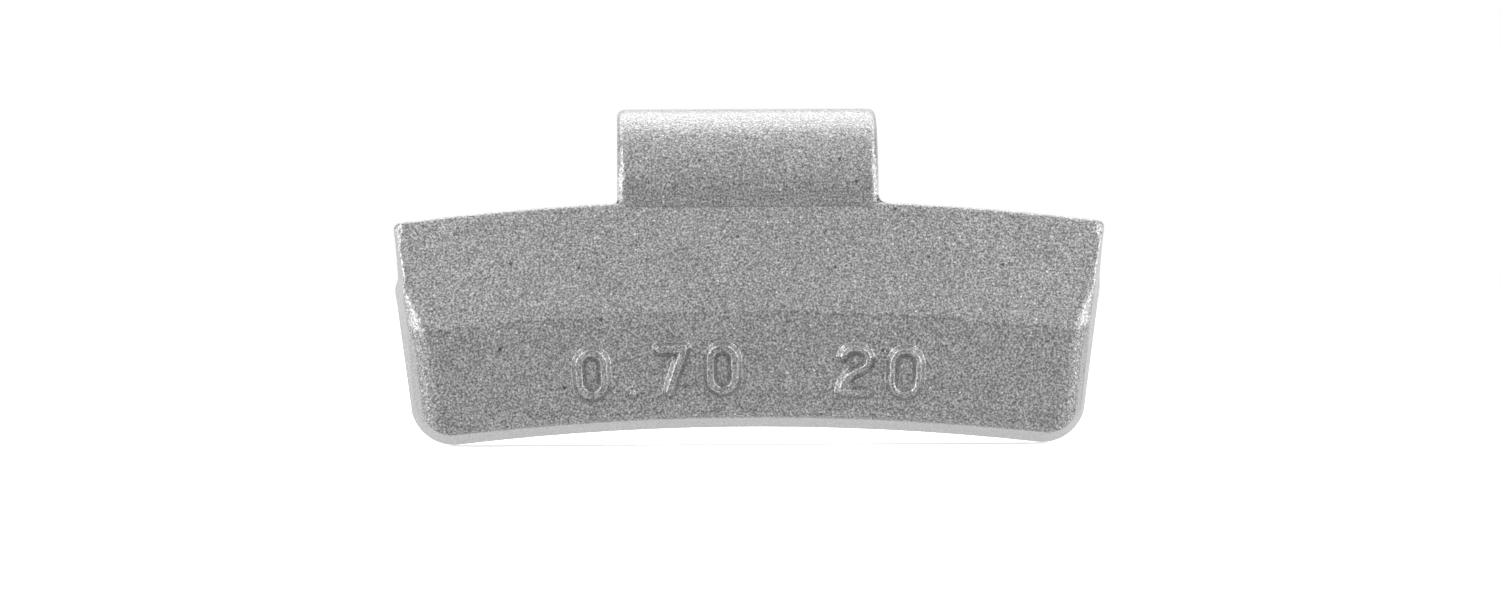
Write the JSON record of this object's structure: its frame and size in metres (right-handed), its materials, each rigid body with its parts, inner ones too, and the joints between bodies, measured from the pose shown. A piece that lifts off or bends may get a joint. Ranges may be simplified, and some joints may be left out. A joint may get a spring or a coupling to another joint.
{
  "type": "wheel balance weight",
  "caption": "Clip-on wheel balance weight: an arched die-cast body with a leaning upper face, held on the rim's flange by a spring-steel clip cast into it.",
  "frame": {"origin": "centre of the clip's bend, half way along the clip: where the rim's lip sits", "axes": "+X along the rim, +Y towards the tyre, +Z away from the hub; the cast face looks along -Y"},
  "size_m": [0.0452, 0.0145, 0.0213],
  "materials": {
    "coated_zinc": "silver-grey metallic coat with a fine grain",
    "coated_steel": "silver-grey metallic coat with a fine grain"
  },
  "bodies": {
    "root": {"weight_body": "coated_zinc", "rim_clip": "coated_steel"}
  },
  "joints": []
}
